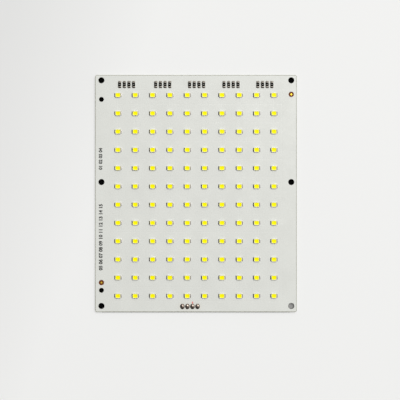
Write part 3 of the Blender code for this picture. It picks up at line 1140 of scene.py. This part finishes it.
# %% [markdown]
# The lead ends keep the shape that the model gives them, because all that shows of them is
# the round end in the underside. They get a metal finish: tinned copper, cut with a nipper.

# %% Lead ends
lead_finish = plated_metal("tinned_copper", "#b7aa9b", "#a08f7c", 0.4, 0.12, 0.006)
for name in lead_nodes:
    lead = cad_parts[name]
    lead.data.materials.clear()
    lead.data.materials.append(lead_finish)
print(len(lead_nodes), "lead ends finished")

# %% [markdown]
# Margin print
#
# Up the left margin stand plain counting numbers in dark marking ink. Each line of them is
# turned into a mesh, set upright along the edge, and raised by the thickness of a coat of ink.

# %% Margin print
INK = 0.012
INK_ROUGHNESS = 0.5
INK_GRAIN = 0.12
INK_RELIEF = 0.002
PRINT_RIGHT = board_low.x + 4.38
LETTER_SPREAD = 0.045  # in the font's own units, where a line of text is about 1 high
LETTER_WELD = 0.0001


def printing_ink(name, pale, dark):
    return plain_finish(name, pale, dark, INK_ROUGHNESS, INK_GRAIN, INK_RELIEF)


def printed_text(words, right, height, bottom, length):
    """The words as flat faces, which read upwards from bottom and stand on the line x = right."""
    curve = bpy.data.curves.new("words", "FONT")
    curve.body = words
    curve.resolution_u = 3
    curve.offset = LETTER_SPREAD
    text = bpy.data.objects.new("words", curve)
    bpy.context.scene.collection.objects.link(text)
    graph = bpy.context.evaluated_depsgraph_get()
    flat = bpy.data.meshes.new_from_object(text.evaluated_get(graph))
    bpy.data.objects.remove(text, do_unlink=True)
    bm = bmesh.new()
    bm.from_mesh(flat)
    bmesh.ops.remove_doubles(bm, verts=bm.verts, dist=LETTER_WELD)
    across = [vert.co.x for vert in bm.verts]
    tall = [vert.co.y for vert in bm.verts]
    bmesh.ops.translate(bm, vec=(-min(across), -min(tall), 0), verts=bm.verts)
    stretch = (length / (max(across) - min(across)), height / (max(tall) - min(tall)), 1)
    bmesh.ops.scale(bm, vec=stretch, verts=bm.verts)
    upright = Matrix.Rotation(math.pi / 2, 3, "Z")
    bmesh.ops.rotate(bm, cent=(0, 0, 0), matrix=upright, verts=bm.verts)
    bmesh.ops.translate(bm, vec=(right, bottom, BOARD_TOP), verts=bm.verts)
    raise_faces(bm, bm.faces[:], (0, 0, INK))
    bmesh.ops.recalc_face_normals(bm, faces=bm.faces)
    return bm


dark_ink = printing_ink("dark_marking_ink", "#32322f", "#242422")
prints = (
    ("upper_margin_print", "01 02 03 04", PRINT_RIGHT, 2.2, 14.1, 13.0),
    ("lower_margin_print", "05 06 07 08 09 10 11 12 13 14 15", PRINT_RIGHT + 0.2, 2.4, -45.7, 39.4),
)
for name, words, right, height, bottom, length in prints:
    piece = finished(name, printed_text(words, right, height, bottom, length), [dark_ink])
    place_piece(piece, "marking_ink")
    print(name, len(piece.data.polygons), "faces")

# %% [markdown]
# Polarity mark
#
# Above the third joint is a small dab of red ink, which tells the fitter where the live lead
# goes. It is a disc, stretched and worn pale.

# %% Polarity mark
MARK_WIDTH = 0.9
MARK_LENGTH = 1.35
MARK_BESIDE = 0.05
MARK_ABOVE = 2.3
MARK_SIDES = 24


def polarity_mark():
    bm = bmesh.new()
    third = lead_places[2]
    made = add_cylinder(bm, (0, 0), 1.0, 0, INK, MARK_SIDES)
    bmesh.ops.scale(bm, vec=(MARK_WIDTH, MARK_LENGTH, 1), verts=made)
    spot = (third.x + MARK_BESIDE, third.y + MARK_ABOVE, BOARD_TOP)
    bmesh.ops.translate(bm, vec=spot, verts=made)
    return finished("polarity_mark", bm, [printing_ink("red_marking_ink", "#df8b86", "#cf7672")])


mark = place_piece(polarity_mark(), "marking_ink")
print("made", mark.name)

# %% [markdown]
# Floor and backing
#
# The panel lies on a pale studio floor that glows a little, so that the panel's shadow stays
# faint. A black card lies between them, a little smaller than the board, so that the holes
# read black. A scrap of grey card, which glows faintly, takes its place under the lower right
# hole. A thin strip of the black shows along the lower edge, as the line of shade where the
# panel meets the floor.

# %% Stage
CARD_INSET = 1.5
CARD_CUT = 16.0
GREY_CARD = 5.6
CARD_LEVEL = -0.05
SHADE_LINE = 0.3
SHADE_SHORT = 4.0  # the strip ends this far from the board's corners
FLOOR_LEVEL = -0.1
FLOOR_SIZE = 6000
GLOW_FADE = (-150.0, -60.0)
GLOW_SLOPE = 0.35
PAPER_FIBRE = 0.8
FIBRE_SHADE = 0.02


def stage_finish(name, colour, gloss, glow=0.0, fall=0.0):
    """Paper of one colour, which may glow, a little less so towards the upper left."""
    material, tree, shader = new_material(
        name, roughness=0.8, specular_ior_level=gloss, emission_strength=glow
    )
    place = object_millimetres(tree)
    split = add_node(tree, "SeparateXYZ", {0: place}).outputs
    fibre = ranged(tree, noise_of(tree, place, PAPER_FIBRE), *NOISE_RANGE, 0.0, FIBRE_SHADE)
    pale = linear(colour)
    mixed = blend_colours(tree, fibre, pale, linear("#808080"))
    tree.links.new(mixed, shader.inputs["Base Color"])
    slope = calculate(tree, "MULTIPLY", split[1], GLOW_SLOPE)
    across = calculate(tree, "SUBTRACT", split[0], slope)
    level = ranged(tree, across, *GLOW_FADE, 1.0 - fall, 1.0)
    shine = blend_colours(tree, level, linear("#000000"), linear("#fdfdfc"))
    tree.links.new(shine, shader.inputs["Emission Color"])
    return material


def flat_stage(name, width, length, place, material, cut=0.0):
    bm = bmesh.new()
    flat_shape(bm, width, length)
    bmesh.ops.translate(bm, vec=place, verts=bm.verts)
    if cut:
        corner = max(bm.verts, key=lambda vert: vert.co.x - vert.co.y)
        bevel(bm, [corner], cut, 1, affect="VERTICES")
    made = finished(name, bm, [material])
    return made


floor_finish = stage_finish("pale_floor", "#8a8a89", 0.2, 0.6, 0.19)
floor_place = (0, 0, FLOOR_LEVEL)
floor = flat_stage("studio_floor", FLOOR_SIZE, FLOOR_SIZE, floor_place, floor_finish)
black = stage_finish("black_paper", "#020202", 0.0)
card_size = (BOARD_WIDTH - 2 * CARD_INSET, BOARD_LENGTH - 2 * CARD_INSET)
card = flat_stage("black_card", *card_size, (0, 0, CARD_LEVEL), black, CARD_CUT)
line_size = (BOARD_WIDTH - 2 * SHADE_SHORT, 2 * SHADE_LINE)
shade_line = flat_stage("shade_line", *line_size, (0, board_low.y, CARD_LEVEL), black)
# The grey card glows faintly, so the lower right hole reads a lit grey.
grey = stage_finish("faintly_glowing_grey_paper", "#747370", 0.0, 0.15)
scrap_place = (screw_right, screw_rows[2], CARD_LEVEL)
scrap = flat_stage("grey_card", GREY_CARD, GREY_CARD, scrap_place, grey)
print("stage:", floor.name, card.name, shade_line.name, scrap.name)

# %% [markdown]
# Light
#
# The studio is bright above and to the right and dark to the left and below, so that metal
# which slopes that way turns dark. A gradient on the world's direction gives that. A pale
# backdrop stands all round, up to about 11 degrees above the floor, behind the panel in low
# views. One large soft box above and to the right lays a faint shade to the left of and below
# each LED, and its reflection in the gloss of the mask brightens the upper right corner.

# %% Light
BRIGHT_SIDE = Vector((0.75, 1.0, 0.8)).normalized()
GRADIENT = (0.1, 0.5)
SKY_STRENGTH = 0.81
BACKDROP = (0.17, 0.22)
KEY_PLACE = (0.78, 0.88, 1.9)  # in metres, as is its side
KEY_SIDE = 1.0
KEY_WATTS = 39.0


def studio_sky(tree):
    way = add_node(tree, "TexCoord").outputs["Generated"]
    toward = add_node(tree, "VectorMath", {0: way, 1: BRIGHT_SIDE}, operation="DOT_PRODUCT")
    level = ranged(tree, toward.outputs["Value"], *GRADIENT, 0.0, 1.0)
    gradient = blend_colours(tree, level, linear("#090908"), linear("#f6f6f4"))
    rise = add_node(tree, "SeparateXYZ", {0: way}).outputs[2]
    backdrop = ranged(tree, rise, *BACKDROP, 1.0, 0.0)
    colour = blend_colours(tree, backdrop, gradient, linear("#ffffff"))
    background = tree.nodes["Background"]
    background.inputs["Strength"].default_value = SKY_STRENGTH
    tree.links.new(colour, background.inputs["Color"])


def soft_box(name, place, side, watts):
    """A square lamp that looks at the origin."""
    light = bpy.data.lights.new(name, "AREA")
    light.shape = "SQUARE"
    light.size = side
    light.energy = watts
    lamp = bpy.data.objects.new(name, light)
    lamp.location = place
    lamp.rotation_mode = "QUATERNION"
    lamp.rotation_quaternion = (-Vector(place)).to_track_quat("-Z", "Y")
    bpy.context.scene.collection.objects.link(lamp)
    return lamp


world = bpy.data.worlds.new("studio")
bpy.context.scene.world = world
world.use_nodes = True
studio_sky(world.node_tree)
key = soft_box("key_light", KEY_PLACE, KEY_SIDE, KEY_WATTS)
print("key light at", tuple(key.location))

# %% [markdown]
# Camera
#
# The photograph looks straight at the panel, so the camera looks straight down at it here. A
# long lens keeps the board's sides parallel. The distance follows from how wide the frame is
# at the board's face, and a small shift of place sets the board in the frame.

# %% Camera
FRAME_WIDTH = 237.8
FOCAL_LENGTH = 85.0
SENSOR = 36.0
CAMERA_X = 2.41
CAMERA_Y = -3.86

lens = bpy.data.cameras.new("camera")
lens.lens = FOCAL_LENGTH
lens.sensor_width = SENSOR
camera = bpy.data.objects.new("camera", lens)
distance = FRAME_WIDTH * FOCAL_LENGTH / SENSOR
camera.location = Vector((CAMERA_X, CAMERA_Y, BOARD_TOP + distance)) * MM
bpy.context.scene.collection.objects.link(camera)
bpy.context.scene.camera = camera
bpy.context.scene.view_settings.view_transform = "Standard"
print("camera", round(distance), "mm above the board")
